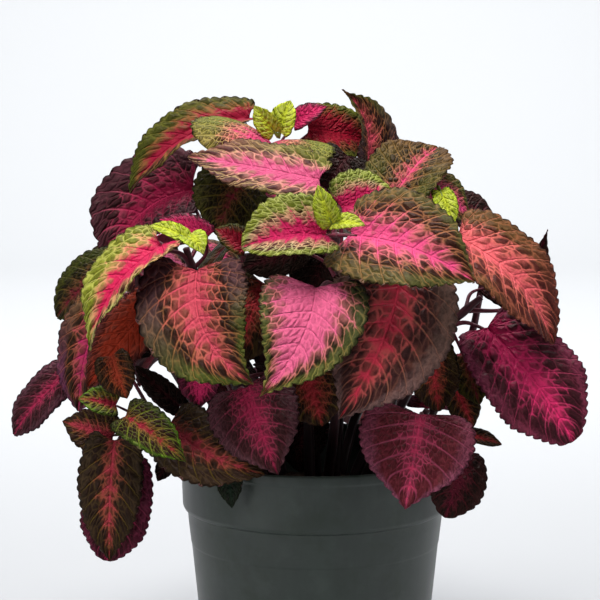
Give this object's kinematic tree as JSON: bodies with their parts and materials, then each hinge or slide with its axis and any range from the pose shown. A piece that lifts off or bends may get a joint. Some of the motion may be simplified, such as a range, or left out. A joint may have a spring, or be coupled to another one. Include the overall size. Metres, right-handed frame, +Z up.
{
  "type": "potted coleus plant",
  "caption": "Bushy coleus with broad toothed leaves on square stems, growing in a tapered round nursery pot with a raised band below its rim.",
  "frame": {"origin": "middle of the pot's foot, on the ground", "axes": "+Z up along the pot's axis; the plant faces -Y, with +X to its viewer's right"},
  "size_m": [0.3544, 0.3259, 0.3903],
  "materials": {
    "pot": "satin moulded plastic",
    "potting_mix": "matt, loose and fibrous",
    "leaf": "soft satin leaf with short hairs",
    "young_leaf": "soft satin leaf with short hairs"
  },
  "bodies": {
    "root": {"pot": "pot", "potting_mix": "potting_mix", "top_shoot": "leaf", "top_back_shoot": "leaf", "centre_shoot": "leaf", "left_shoot": "leaf", "far_left_shoot": "leaf", "low_left_shoot": "leaf", "right_shoot": "leaf", "right_back_shoot": "leaf", "front_left_stem": "leaf", "front_right_stem": "leaf", "back_left_shoot": "leaf", "back_shoot": "leaf", "back_right_shoot": "leaf", "low_back_left_shoot": "leaf", "low_back_right_shoot": "leaf", "inner_right_shoot": "leaf", "inner_left_shoot": "leaf", "top_tip": "young_leaf", "centre_tip": "young_leaf", "left_tip": "young_leaf", "right_tip": "young_leaf"}
  },
  "joints": []
}
